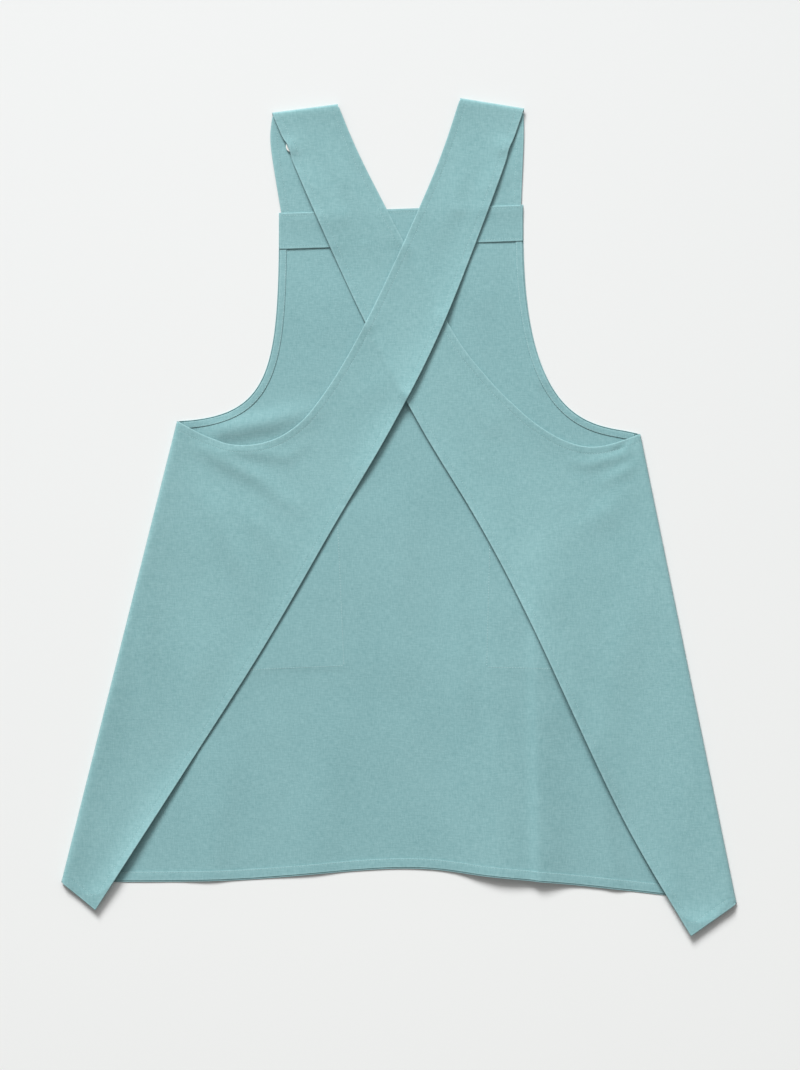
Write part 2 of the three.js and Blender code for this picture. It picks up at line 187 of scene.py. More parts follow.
table_paper, tree, shader = new_material("table_paper")
across_table = node(tree, "ShaderNodeSeparateXYZ")
tree.links.new(node(tree, "ShaderNodeTexCoord").outputs["Object"], across_table.inputs["Vector"])
toward_shoulders = math_node(tree, "MULTIPLY", across_table.outputs["Y"], TABLE_GRADE)
share = math_node(tree, "SUBTRACT", TABLE_MIDDLE, toward_shoulders, clamp=True)
tree.links.new(two_tones(tree, share, TABLE_FAR, TABLE_NEAR), shader.inputs["Base Color"])
bump(tree, shader, noise(tree, (700, 700, 700)), 0.00003)
shader.inputs["Roughness"].default_value = 0.75
shader.inputs["Specular IOR Level"].default_value = 0.1

shape = bmesh.new()
bmesh.ops.create_grid(shape, x_segments=2, y_segments=2, size=TABLE_SIZE / 2)
table_mesh = bpy.data.meshes.new("table_top")
shape.to_mesh(table_mesh)
shape.free()
table_mesh.materials.append(table_paper)
table_top = bpy.data.objects.new("table_top", table_mesh)
bpy.context.scene.collection.objects.link(table_top)

# ------------------------------------------------------------------ pockets
# Two patch pockets of the same canvas, sewn to the outside of the skirt. The apron lies on its face, so
# they are the lowest pieces and the panel lies over them.

MM = 0.001
THICK = 0.6  # the canvas
AIR = 0.3  # between one layer and the next
CELL = 1.0  # of the chart of heights
CHART_MARGIN = 14
RIM_STEP = 3.0  # along an edge
CORNER = math.radians(25)  # a sharper turn of an edge stays a corner
EDGE_ROWS = (0.9, 2.4, 4.4, 6.2, 7.3, 8.0, 8.8, 10.2, 12.5, 15.5)  # rows of the mesh beside an edge
OFF_EDGE = 50.0  # a distance from the edge where no sewing shows
STITCH_LINE = 8.0  # from a turned edge to its stitching

edge_low = np.array(cad_low)[:2] / MM - CHART_MARGIN
edge_high = np.array(cad_high)[:2] / MM + CHART_MARGIN
columns = np.arange(edge_low[0], edge_high[0], CELL)
rows = np.arange(edge_low[1], edge_high[1], CELL)
chart_x, chart_y = np.meshgrid(columns, rows)
laid = np.zeros(chart_x.shape)  # the top of everything laid so far


def outline(name, facing=1):
    """A CAD solid's outline as seen from above (1) or below (-1): [x, y] in order, anticlockwise."""
    solid = bmesh.new()
    solid.from_mesh(frame["nodes"][name].data)
    bmesh.ops.remove_doubles(solid, verts=solid.verts, dist=1e-6)
    solid.normal_update()
    solid.faces.ensure_lookup_table()
    shown = {f for f in solid.faces if f.normal.z * facing > 0.01}
    todo = [max(sorted(shown, key=lambda f: f.index), key=lambda f: f.calc_area())]
    region = set(todo)
    while todo:
        for edge in todo.pop().edges:
            for face in edge.link_faces:
                if face in shown and face not in region:
                    region.add(face)
                    todo.append(face)
    following = {}
    for face in sorted(region, key=lambda f: f.index):
        for loop in face.loops:
            if sum(f in region for f in loop.edge.link_faces) == 1:
                following[loop.vert] = loop.link_loop_next.vert
    rounds = []
    while following:
        here = min(following, key=lambda v: (round(v.co.x, 5), round(v.co.y, 5)))
        run = []
        while here in following:
            run.append(here)
            here = following.pop(here)
        rounds.append(run)
    longest = max(rounds, key=len)
    points = np.array([v.co[:2] for v in longest]) / MM
    solid.free()
    return points if facing > 0 else points[::-1]


def lengths(steps):
    """How long each [x, y] step is."""
    return np.hypot(steps[:, 0], steps[:, 1])


def smooth_run(points):
    """The run again with even steps, on a smooth curve through its points."""
    keep = [0]
    for i in range(1, len(points) - 1):
        if math.dist(points[i], points[keep[-1]]) > RIM_STEP and math.dist(points[i], points[-1]) > RIM_STEP:
            keep.append(i)
    run = points[keep + [len(points) - 1]]
    run = np.vstack([2 * run[0] - run[1], run, 2 * run[-1] - run[-2]])
    made = []
    for a, b, c, d in zip(run, run[1:], run[2:], run[3:]):
        count = max(1, round(math.dist(b, c) / RIM_STEP))
        t = (np.arange(count) / count)[:, None]
        bend, twist = 2 * a - 5 * b + 4 * c - d, 3 * b - a - 3 * c + d
        made.append(0.5 * (2 * b + (c - a) * t + bend * t**2 + twist * t**3))
    return np.vstack(made)


def even_outline(points):
    """The outline with even steps and the same corners."""
    before, after = points - np.roll(points, 1, 0), np.roll(points, -1, 0) - points
    turn = np.arctan2(
        before[:, 0] * after[:, 1] - before[:, 1] * after[:, 0], (before * after).sum(1)
    )
    corners = np.flatnonzero(np.abs(turn) > CORNER)
    points = np.roll(points, -corners[0], 0)
    corners = [*(corners - corners[0]), len(points)]
    points = np.vstack([points, points[:1]])
    return np.vstack([smooth_run(points[a : b + 1]) for a, b in zip(corners, corners[1:])])


def filled(points):
    """The cells of the chart inside an outline."""
    crossed = np.zeros((len(rows), len(columns) + 1))
    for (x0, y0), (x1, y1) in zip(points, np.roll(points, -1, 0)):
        hit = np.flatnonzero((rows >= min(y0, y1)) & (rows < max(y0, y1)))
        if len(hit):
            x = x0 + (rows[hit] - y0) * (x1 - x0) / (y1 - y0)
            at = np.clip(np.ceil((x - columns[0]) / CELL), 0, len(columns)).astype(int)
            np.add.at(crossed, (hit, at), 1)
    return np.cumsum(crossed, 1)[:, :-1] % 2 == 1


def read(chart, points):
    """The chart's values at these points."""
    x = np.clip((points[:, 0] - columns[0]) / CELL, 0, len(columns) - 1.001)
    y = np.clip((points[:, 1] - rows[0]) / CELL, 0, len(rows) - 1.001)
    i, j = x.astype(int), y.astype(int)
    u, v = x - i, y - j
    low = chart[j, i] * (1 - u) + chart[j, i + 1] * u
    high = chart[j + 1, i] * (1 - u) + chart[j + 1, i + 1] * u
    return low * (1 - v) + high * v


def blurred(chart, reach):
    """The chart smoothed over that many millimetres. A chart of True and False becomes 1 to 0."""
    down = np.fft.fftfreq(len(rows), CELL)[:, None]
    across = np.fft.rfftfreq(len(columns), CELL)[None, :]
    kernel = np.exp(-2 * (math.pi * reach) ** 2 * (down**2 + across**2))
    return np.fft.irfft2(np.fft.rfft2(chart.astype(float)) * kernel, s=chart.shape)


def spread(chart, inside, reach):
    """The chart smoothed over that reach from its values inside a piece alone."""
    return blurred(chart * inside, reach) / np.maximum(blurred(inside, reach), 1e-3)


STIFF_REACHES = (14, 10, 7, 5, 3.5, 2.5)  # the widest steps that the canvas bridges come first
SOFT_REACH = 1.5


def settled(inside, under):
    """The underside of a sheet that lies on what is under it and is too stiff to follow every step."""
    sheet = under.copy()
    for reach in STIFF_REACHES:
        for _ in range(2):
            sheet = np.maximum(spread(sheet, inside, reach), under)
    return np.where(inside, spread(sheet, inside, SOFT_REACH), under)


def uneven(seed, reach, height):
    """Soft unevenness of about that height, in swells about that far apart, the same for the same seed."""
    field = blurred(np.random.default_rng(seed).normal(size=laid.shape), reach)
    return field / field.std() * height


def to_edge(points, rim, part):
    """Each point's distance from the part of the rim that is marked."""
    at = np.flatnonzero(part)
    if not len(at):
        return np.full(len(points), OFF_EDGE)
    tree = kdtree.KDTree(len(at))
    for i in at:
        tree.insert((*rim[i], 0), int(i))
    tree.balance()
    near = np.array([tree.find((*p, 0))[1] for p in points])
    away = np.full(len(points), np.inf)
    for step in (-1, 1):
        other = (near + step) % len(rim)
        a, b = rim[near], np.where(part[other][:, None], rim[other], rim[near])
        along = b - a
        share = ((points - a) * along).sum(1) / np.maximum((along**2).sum(1), 1e-9)
        away = np.minimum(away, lengths(points - a - np.clip(share, 0, 1)[:, None] * along))
    return away


def to_seam(points, rim, seam):
    """Distances from the turned edges, scaled so that each one's stitching is at STITCH_LINE. seam is how
    far in each rim point's stitching runs, 0 on a fold."""
    away = np.full(len(points), OFF_EDGE)
    for depth in sorted(set(seam[seam > 0])):
        away = np.minimum(away, to_edge(points, rim, seam == depth) * STITCH_LINE / depth)
    return away


def into(rim):
    """The way into the cloth at each point of its rim."""
    along = np.roll(rim, -1, 0) - np.roll(rim, 1, 0)
    return np.c_[-along[:, 1], along[:, 0]] / np.maximum(lengths(along), 1e-9)[:, None]


ROW_SHARE = 0.93  # a row's point nearer the rim than this share of its depth is left out
GRID_GAP = 0.6  # between the last row and the grid, as a share of the spacing


def cut(rim, edge, spacing, edge_rows):
    """A flat cut of cloth: rows that follow its rim and an even grid inside them, with its triangles."""
    tree = kdtree.KDTree(len(rim))
    for i, p in enumerate(rim):
        tree.insert((*p, 0), i)
    tree.balance()
    points = [edge]
    inward = into(rim)
    for depth in edge_rows:
        row = rim + inward * depth
        points.append(row[[tree.find((*p, 0))[2] > ROW_SHARE * depth for p in row]])
    x = np.arange(rim[:, 0].min(), rim[:, 0].max(), spacing)
    y = np.arange(rim[:, 1].min(), rim[:, 1].max(), spacing * math.sin(math.radians(60)))
    grid_x, grid_y = np.meshgrid(x, y)
    grid_x[1::2] += spacing / 2
    grid = np.c_[grid_x.ravel(), grid_y.ravel()]
    grid = grid[read(filled(rim), grid) > 0.99]
    clear = (edge_rows[-1] if edge_rows else 0) + GRID_GAP * spacing
    points.append(grid[[tree.find((*p, 0))[2] > clear for p in grid]] if len(grid) else grid)
    points = np.vstack(points)
    border = [(i, (i + 1) % len(rim)) for i in range(len(rim))]
    found = geometry.delaunay_2d_cdt([Vector(p) for p in points], border, [], 1, 1e-5)
    return np.array([v[:] for v in found[0]]), found[2], [ids[0] if ids else -1 for ids in found[3]]


LIP = 0.45  # radius of the fold along a turned edge
LIP_TURNS = (math.radians(60), math.radians(120), math.radians(180))


def cloth(name, rim, height, material, seam=None, lip=0, spacing=4.0, edge_rows=EDGE_ROWS, more=None):
    """A sheet of cloth cut to a rim, at the height that height(points, distance to a seam) gives.
    lip turns the edges with a seam up (1) or under (-1). more(shape, rim numbers) may add to the edge."""
    seam = np.zeros(len(rim)) if seam is None else seam
    inward = into(rim)
    edge = rim + inward * np.where((seam > 0) & (lip != 0), LIP, 0)[:, None]
    points, faces, source = cut(rim, edge, spacing, edge_rows)
    from_seam = to_seam(points, rim, seam)
    from_edge = to_edge(points, rim, np.ones(len(rim), bool))
    mesh = bpy.data.meshes.new(name)
    mesh.from_pydata(np.c_[points, height(points, from_seam)] * MM, [], faces)
    shape = bmesh.new()
    shape.from_mesh(mesh)
    seam_mm = shape.verts.layers.float.new("seam_mm")
    edge_mm = shape.verts.layers.float.new("edge_mm")
    rim_number = shape.verts.layers.int.new("rim_number")
    for vert, away, far, number in zip(shape.verts, from_seam, from_edge, source):
        vert[seam_mm] = away
        vert[edge_mm] = far
        vert[rim_number] = number + 1 if 0 <= number < len(rim) else 0
    if lip:
        run = [e for e in shape.edges if e.is_boundary and all(seam[v[rim_number] - 1] for v in e.verts)]
        base = {v[rim_number]: v.co.z for e in run for v in e.verts}
        for turn in LIP_TURNS:
            made = bmesh.ops.extrude_edge_only(shape, edges=run)["geom"]
            run = [g for g in made if isinstance(g, bmesh.types.BMEdge)]
            for vert in (g for g in made if isinstance(g, bmesh.types.BMVert)):
                number = vert[rim_number]
                out = LIP - LIP * math.sin(turn)
                vert.co.xy = (rim[number - 1] + inward[number - 1] * out) * MM
                vert.co.z = base[number] + lip * LIP * (1 - math.cos(turn)) * MM
    if more:
        more(shape, rim_number)
    bmesh.ops.recalc_face_normals(shape, faces=shape.faces)
    if sum(f.normal.z * f.calc_area() for f in shape.faces) < 0:
        bmesh.ops.reverse_faces(shape, faces=shape.faces)
    shape.verts.layers.int.remove(rim_number)
    for face in shape.faces:
        face.smooth = True
    shape.to_mesh(mesh)
    shape.free()
    mesh.materials.append(material)
    piece = bpy.data.objects.new(name, mesh)
    bpy.context.scene.collection.objects.link(piece)
    body = piece.modifiers.new("thickness", "SOLIDIFY")
    body.thickness = THICK * MM
    body.offset = 0
    return piece


SLUB_LONG, SLUB_FINE = 140.0, 640.0  # a thicker yarn's length and width, as scales
YARN = 0.00072  # from one yarn to the next
YARN_RELIEF = 0.00022
MIDDLE_TONE = 0.53  # taken off, so that plain cloth is midway between its two tones


def weave(tree, turn):
    """The over and under of a plain weave, 0 to 1: two crossed waves, each uneven as spun yarn is."""
    place = node(tree, "ShaderNodeTexCoord").outputs["Object"]
    mapping = node(tree, "ShaderNodeMapping")
    mapping.inputs["Rotation"].default_value = (0, 0, turn)
    tree.links.new(place, mapping.inputs["Vector"])
    waves = []
    for direction in ("X", "Y"):
        wave = node(tree, "ShaderNodeTexWave", wave_type="BANDS", bands_direction=direction)
        wave.inputs["Scale"].default_value = math.pi / 10 / (2 * YARN)
        wave.inputs["Distortion"].default_value = 2.5
        wave.inputs["Detail"].default_value = 1.0
        wave.inputs["Detail Scale"].default_value = 0.6
        tree.links.new(mapping.outputs["Vector"], wave.inputs["Vector"])
        waves.append(math_node(tree, "SUBTRACT", wave.outputs["Fac"], 0.5))
    crossing = math_node(tree, "MULTIPLY", *waves)
    return math_node(tree, "ADD", math_node(tree, "MULTIPLY", crossing, 2.0), 0.5)


def weighed(tree, *parts):
    """The sum of sockets, each given with its weight."""
    products = [math_node(tree, "MULTIPLY", part, weight) for part, weight in parts]
    total = products[0]
    for product in products[1:]:
        total = math_node(tree, "ADD", total, product)
    return total


def fading(tree, distance, rate):
    """1 where a distance is 0, falling by that rate to 0."""
    return math_node(tree, "SUBTRACT", 1.0, math_node(tree, "MULTIPLY", distance, rate), clamp=True)


def canvas(name, dark, light, turn=0.0):
    """Plain-weave cotton canvas: thicker yarns both ways, a fine weave, a painted highlight along every edge
    and fold that also stands for a little fading there, and the groove, painted shade and puckers of the
    stitching by a turned edge."""
    material, tree, shader = new_material(name)
    weft = noise(tree, (SLUB_LONG, SLUB_FINE, 40), 2.0, turn)
    warp = noise(tree, (SLUB_FINE, SLUB_LONG, 40), 2.0, turn)
    cloudy = noise(tree, (9, 7, 9), 3.0, turn)
    fuzz = noise(tree, (1500, 1500, 1500), 1.0)
    crossings = weave(tree, turn)
    seam = node(tree, "ShaderNodeAttribute", attribute_name="seam_mm").outputs["Fac"]
    edge = node(tree, "ShaderNodeAttribute", attribute_name="edge_mm").outputs["Fac"]
    from_line = math_node(tree, "ABSOLUTE", math_node(tree, "SUBTRACT", seam, STITCH_LINE))
    # The stitching's groove: it sinks the relief, and in the colour it is painted shade along the stitching
    # line.
    groove_and_shade = fading(tree, from_line, 0.9)
    # Lighter near every edge and fold: a painted highlight, which also stands for a little fading there.
    edge_highlight_and_wear = fading(tree, edge, 0.45)
    pucker = math_node(tree, "MULTIPLY", noise(tree, (170, 170, 60), 1.0), fading(tree, seam, 0.075))
    patchy = noise(tree, (60, 75, 60), 3.0, turn)
    yarns = weighed(tree, (weft, 0.5), (warp, 0.5))

    tone = weighed(tree, (yarns, 1.15), (cloudy, 0.3), (patchy, 0.12), (fuzz, 0.25), (crossings, 0.3))
    tone = math_node(tree, "SUBTRACT", tone, MIDDLE_TONE)
    # Painted shade along the stitching line and a painted highlight along the edges and folds.
    tone = math_node(tree, "ADD", tone, weighed(tree, (groove_and_shade, -0.07), (edge_highlight_and_wear, 0.3)), clamp=True)
    tree.links.new(two_tones(tree, tone, dark, light), shader.inputs["Base Color"])

    relief = weighed(tree, (yarns, 1.0), (fuzz, 0.25), (crossings, 0.6), (pucker, 1.6), (groove_and_shade, -0.4))
    bump(tree, shader, relief, YARN_RELIEF)
    shader.inputs["Roughness"].default_value = 0.88
    shader.inputs["Specular IOR Level"].default_value = 0.25
    shader.inputs["Sheen Weight"].default_value = 0.12
    shader.inputs["Sheen Roughness"].default_value = 0.5
    return material


OUTSIDE_DARK, OUTSIDE_LIGHT = (0.148, 0.318, 0.336), (0.322, 0.533, 0.553)
INSIDE_DARK, INSIDE_LIGHT = (0.142, 0.308, 0.328), (0.314, 0.523, 0.544)
THREAD_DARK, THREAD_LIGHT = (0.32, 0.51, 0.52), (0.44, 0.64, 0.65)
outside = canvas("canvas_outside", OUTSIDE_DARK, OUTSIDE_LIGHT)
inside_out = canvas("canvas_inside", INSIDE_DARK, INSIDE_LIGHT, turn=0.02)

thread, tree, shader = new_material("sewing_thread")
twist = noise(tree, (1800, 1800, 1800), 1.0)
tree.links.new(two_tones(tree, twist, THREAD_DARK, THREAD_LIGHT), shader.inputs["Base Color"])
bump(tree, shader, twist, 0.00005)
shader.inputs["Roughness"].default_value = 0.6

STITCH = 3.1  # from one stitch to the next
STITCH_LONG, STITCH_WIDE, STITCH_HIGH = 2.3, 0.5, 0.4
SLOPE_STEP = 1.0  # how far on each side of its middle a stitch's slope is read


def row_of_stitches(name, lines, height, body, wide=STITCH_WIDE):
    """Lockstitches along lines of [x, y] points, half sunk into the cloth at height(points)."""
    shape = bmesh.new()
    for line in lines:
        along = np.concatenate([[0], np.cumsum(lengths(np.diff(line, axis=0)))])
        at = np.arange(STITCH / 2, along[-1], STITCH)
        ends = []
        for part in (at - SLOPE_STEP, at, at + SLOPE_STEP):
            place = np.c_[np.interp(part, along, line[:, 0]), np.interp(part, along, line[:, 1])]
            ends.append(np.c_[place, height(place)])
        for a, m, b in zip(*ends):
            turn = Vector(b - a).to_track_quat("X", "Z").to_matrix().to_4x4()
            size = Matrix.Diagonal((STITCH_LONG / 2 * MM, wide / 2 * MM, STITCH_HIGH / 2 * MM, 1))
            where = Matrix.Translation(Vector(m) * MM) @ turn @ size
            bmesh.ops.create_icosphere(shape, subdivisions=1, radius=1, matrix=where)
    for face in shape.faces:
        face.smooth = True
    mesh = bpy.data.meshes.new(name)
    shape.to_mesh(mesh)
    shape.free()
    mesh.materials.append(thread)
    stitches = bpy.data.objects.new(name, mesh)
    bpy.context.scene.collection.objects.link(stitches)
    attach(stitches, body)
    return stitches


SIDES = ("right", "left")
POCKET_LINE = 2.0  # from a pocket's edge to its stitching
POCKET_STITCH_WIDE = 0.9  # a thicker thread
pocket_rims = {}


def pocket_height(points, away):
    return np.full(len(points), THICK / 2)


for side in SIDES:
    name = f"{side}_pocket"
    rim = even_outline(outline(name))
    pocket_rims[side] = rim
    seam = np.full(len(rim), POCKET_LINE)
    piece = cloth(f"{side}_patch_pocket", rim, pocket_height, outside, seam, spacing=8)
    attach(piece, "front")
    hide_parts(name)
    laid = np.where(filled(rim), THICK + AIR, laid)

# ------------------------------------------------------------------ front panel
# The skirt and bib, cut in one from canvas. Its inside faces up. It curls up at the side folds, where the
# wings grow out of it, and it is turned in along the armholes and the hem.

FOLD_HEIGHT = {"left": 3.6, "right": 3.2}  # the crest of the side fold above the table
FOLD_REACH = 3.4  # how far in the fold's curl reaches
ON_FOLD = 0.5  # an edge nearer than this to a fold's crest is on it
HEM_LINE = 10.6  # from the bottom edges to their stitching
RIM_REACH = 2.0  # how far past a sheet's edge its heights are carried on
DENT, DENT_WIDE = 0.1, 0.9  # the groove that the stitching pulls into the cloth

joints = {joint["name"]: joint for joint in frame["joints"]}


def fold_line(side):
    """A point on the side fold's crest, and the way in from it."""
    joint = joints[f"{side}_wing_fold"]
    crest = np.array(joint["pos_m"][:2]) / MM
    inward = np.array((-joint["axis"][1], joint["axis"][0])) / math.hypot(*joint["axis"][:2])
    return crest, inward if inward @ crest < 0 else -inward


def past_fold(side, points):
    """How far points are in from the side fold."""
    crest, inward = fold_line(side)
    return (points - crest) @ inward


chart_points = np.c_[chart_x.ravel(), chart_y.ravel()]
fold_chart = {side: past_fold(side, chart_points).reshape(laid.shape) for side in SIDES}


def curled(heights, away, crest, reach):
    """Heights brought round to a crest as a fold's curl, where away is under its reach."""
    part = np.clip((reach - away) / reach, 0, 1)
    return crest + (heights - crest) * np.sqrt(np.clip(1 - part**2, 0, 1))


def swell(line, width, steep=None):
    """A long soft rise of the cloth along a line of (x, y, height). steep is its width on the right of the
    line, where that isn't the same."""
    line = np.array(line, float)
    best = np.full(laid.shape, np.inf)
    height = np.zeros(laid.shape)
    right = np.zeros(laid.shape, bool)
    for a, b in zip(line, line[1:]):
        step = b - a
        x, y = chart_x - a[0], chart_y - a[1]
        share = np.clip((x * step[0] + y * step[1]) / (step[:2] @ step[:2]), 0, 1)
        away = np.hypot(x - share * step[0], y - share * step[1])
        nearer = away < best
        best = np.where(nearer, away, best)
        height = np.where(nearer, a[2] + share * step[2], height)
        right = np.where(nearer, step[0] * y - step[1] * x < 0, right)
    return height * np.exp(-0.5 * (best / np.where(right, steep or width, width)) ** 2)


def past_edge(inside, sheet):
    """The sheet's heights carried on a little way past its edge, so that its rim can be read from them."""
    return np.where(inside, sheet, spread(sheet, inside, RIM_REACH))


BAND_PROBE = 5.0  # a turned band is looked for this far in from its edge


def seams_of(rim, bands, depths, folds):
    """How far in the stitching of each rim point runs: that of the turned band inside it, 0 on a fold."""
    probe = rim + into(rim) * BAND_PROBE
    seam = np.full(len(rim), STITCH_LINE)
    for band, depth in zip(bands, depths):
        seam[read(filled(band), probe) > 0.5] = depth
    seam[folds] = 0
    return seam


def stitch_dent(away):
    """How deep the cloth is drawn in at that distance to a seam."""
    return DENT * np.exp(-0.5 * ((away - STITCH_LINE) / DENT_WIDE) ** 2)


SEAM_SHARE = 0.96  # stitching that is nearer another edge than this share of its distance is left out


def inner_lines(rim, seam):
    """The lines that the stitching follows inside a rim."""
    moved = rim + into(rim) * seam[:, None]
    good = (seam > 0) & (to_seam(moved, rim, seam) > SEAM_SHARE * STITCH_LINE)
    if good.all():
        return [np.vstack([moved, moved[:1]])]
    order = np.roll(np.arange(len(rim)), -np.flatnonzero(~good)[0])
    runs = [[]]
    for i in order:
        if not good[i] or (runs[-1] and seam[i] != seam[i - 1]):
            runs.append([])
        if good[i]:
            runs[-1].append(moved[i])
    return [np.array(run) for run in runs if len(run) > 3]


# The long folds and swells of the skirt and bib: (x, y, height) along each, its width, and its width on
# the right of that line.
PANEL_SWELLS = [
    ([(112, 40, 0), (112, -150, 3.0), (114, -300, 6.0), (120, -500, 11.0)], 38, 22),
    ([(152, -20, 0), (158, -140, 3.2), (161, -330, 5.0), (164, -500, 5.5)], 20, 5),
    ([(60, 0, 0), (72, -160, 2.2), (84, -330, 2.0), (92, -500, 1.0)], 9, 18),
    ([(190, -110, 3.0), (204, -220, 3.6), (226, -330, 2.6), (250, -500, 0)], 14, 34),
    ([(214, -200, 0), (236, -320, 1.2), (262, -500, 1.6)], 8, 8),
    ([(-70, -180, 0), (-92, -330, 1.6), (-110, -500, 2.6)], 20, 26),
    ([(-190, -240, 0), (-208, -340, 1.6), (-230, -500, 2.0)], 14, 18),
    ([(-5, 100, 0), (5, -60, 1.6), (0, -220, 0)], 16, 16),
    ([(-235, 92, 0), (-205, 100, 4.0), (-150, 110, 4.0), (-85, 128, 0)], 9, 9),
    ([(-190, 150, 0), (-172, 225, 1.4), (-150, 262, 0)], 9, 9),
    ([(225, 112, 0), (170, 160, 1.8), (150, 250, 0)], 9, 9),
    ([(60, 330, 0), (95, 250, 1.2), (110, 180, 0)], 12, 12),
]

panel_rim = even_outline(outline("front_panel", -1))
panel_inside = filled(panel_rim)
panel_under = settled(panel_inside, laid)
for line, width, steep in PANEL_SWELLS:
    panel_under = panel_under + swell(line, width, steep)
panel_under = panel_under + uneven(seed=3, reach=30, height=0.35) + uneven(seed=4, reach=11, height=0.06)
panel_under = np.maximum(panel_under, laid)
panel_under = past_edge(panel_inside, panel_under)
side_folds = np.min([np.abs(past_fold(side, panel_rim)) for side in SIDES], axis=0) < ON_FOLD
panel_seam = seams_of(panel_rim, [even_outline(outline("front_hem"))], [HEM_LINE], side_folds)


def panel_height(points):
    heights = read(panel_under, points) + THICK / 2
    for side in SIDES:
        heights = curled(heights, past_fold(side, points), FOLD_HEIGHT[side], FOLD_REACH)
    return heights


front_panel = cloth(
    "front_panel_canvas", panel_rim, lambda p, away: panel_height(p), inside_out, panel_seam, lip=1
)
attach(front_panel, "front")
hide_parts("front_panel")
laid = np.where(panel_inside, panel_under + THICK + AIR, laid)

# ------------------------------------------------------------------ turned edges of the front
# The armholes and the hem are turned to the inside and stitched with one row, so on the front they lie on
# top of the panel. Each is the panel's own cloth folded over.

TURN_STEP = THICK + AIR
TURN_SOFT = 0.8  # how softly the step of a turned edge begins
TUCK = 0.8  # how far a turned band starts inside the fold of its edge
FRONT_TURNINGS = {
    "front_hem": "front_bottom_turning",
    "left_front_armhole_hem": "left_front_armhole_turning",
    "right_front_armhole_hem": "right_front_armhole_turning",
}


def follow_seam(piece, rim, seam):
    """Gives a turned band the stitching of the cloth that it is turned from."""
    points = np.array([v.co[:2] for v in piece.data.vertices]) / MM
    piece.data.attributes["seam_mm"].data.foreach_set("value", to_seam(points, rim, seam).astype(np.float32))


for node_name, name in FRONT_TURNINGS.items():
    rim = even_outline(outline(node_name))

    def turning_height(points, away):
        return panel_height(points) + TURN_STEP - stitch_dent(to_seam(points, panel_rim, panel_seam))

    tucked = rim + into(rim) * TUCK
    piece = cloth(name, tucked, turning_height, inside_out, spacing=4, edge_rows=(0.6, 1.6, 3.0, 4.2))
    follow_seam(piece, panel_rim, panel_seam)
    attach(piece, "front")
    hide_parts(node_name)
    laid = laid + blurred(filled(rim), TURN_SOFT) * TURN_STEP

front_stitching = row_of_stitches(
    "front_edge_stitching",
    inner_lines(panel_rim, panel_seam),
    lambda p: panel_height(p) + TURN_STEP + THICK / 2 - DENT,
    "front",
)
pocket_lines = [
    line
    for rim in pocket_rims.values()
    for line in inner_lines(rim, np.full(len(rim), POCKET_LINE))
]
pocket_stitching = row_of_stitches(
    "pocket_stitching", pocket_lines, lambda p: panel_height(p) + THICK / 2, "front", POCKET_STITCH_WIDE
)

# ------------------------------------------------------------------ front straps
# A strap of canvas turned in along both sides. It is sewn in at the top of the bib, and at the shoulder it
# is one with the strap of the wing from the other side.

STRAP_RIDGE = 0.5  # how much its turned sides stand above its middle
RIDGE_PAST, RIDGE_SOFT = 0.8, 0.4  # how far past the stitching the turned cloth ends, and how softly


def at_ends(rim):
    """Which points of a rim are on an edge that runs across the apron."""
    return np.abs(into(rim)[:, 1]) > 0.9


for side in SIDES:
    name = f"{side}_front_strap"
    rim = even_outline(outline(name))
    inside = filled(rim)
    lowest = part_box(name)[0].z / MM
    seam = np.where(at_ends(rim), 0, STITCH_LINE)
    under = settled(inside, np.maximum(laid, inside * lowest))
    under = past_edge(inside, np.maximum(under, lowest) + np.abs(uneven(seed=11, reach=16, height=0.2)))

    def strap_height(points, away):
        past = np.clip((away - STITCH_LINE - RIDGE_PAST) / RIDGE_SOFT, -30, 30)
        turned_under = STRAP_RIDGE / (1 + np.exp(past))
        return read(under, points) + THICK / 2 + turned_under - stitch_dent(away)

    piece = cloth(f"{name}_canvas", rim, strap_height, inside_out, seam, lip=-1)
    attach(piece, "front")
    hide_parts(name)
    stitches = row_of_stitches(
        f"{side}_front_strap_stitching",
        inner_lines(rim, seam),
        lambda p: strap_height(p, np.full(len(p), STITCH_LINE)) + THICK / 2,
        "front",
    )
    laid = np.where(inside, under + THICK + AIR + STRAP_RIDGE, laid)

# ------------------------------------------------------------------ facing
# A straight band of canvas inside the top of the bib. It hides the straps' ends and is stitched along its
# top and bottom.

FACING_LINE = 3.0  # from its long edges to their stitching

facing_rim = even_outline(outline("bib_facing"))
facing_inside = filled(facing_rim)
facing_under = past_edge(facing_inside, settled(facing_inside, laid))
facing_seam = np.where(at_ends(facing_rim), FACING_LINE, 0)


def facing_height(points, away):
    return read(facing_under, points) + THICK / 2 - stitch_dent(away)


bib_facing = cloth("bib_facing_canvas", facing_rim, facing_height, inside_out, facing_seam, lip=-1)
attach(bib_facing, "front")
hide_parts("bib_facing")
facing_stitching = row_of_stitches(
    "facing_stitching",
    inner_lines(facing_rim, facing_seam),
    lambda p: facing_height(p, np.full(len(p), STITCH_LINE)) + THICK / 2,
    "front",
)
laid = np.where(facing_inside, facing_under + THICK + AIR, laid)

# ------------------------------------------------------------------ buttons
# A flat white four-hole button near the top of each front strap, sewn on through a short wound foot. The
# strap from the other side can be shortened or let out on it.

BUTTON_DARK, BUTTON_LIGHT = (0.76, 0.75, 0.72), (0.88, 0.87, 0.84)
BUTTON_ROUNDING, THREAD_ROUNDING = 0.25, 0.12
BUTTON_CLEAR = 0.5  # how far past its edge the cloth over it is held up

button_white, tree, shader = new_material("button_white")
clouds = noise(tree, (260, 90, 90))
tree.links.new(two_tones(tree, clouds, BUTTON_DARK, BUTTON_LIGHT), shader.inputs["Base Color"])
bump(tree, shader, noise(tree, (900, 900, 900)), 0.00002)
shader.inputs["Roughness"].default_value = 0.28
shader.inputs["Coat Weight"].default_value = 0.3

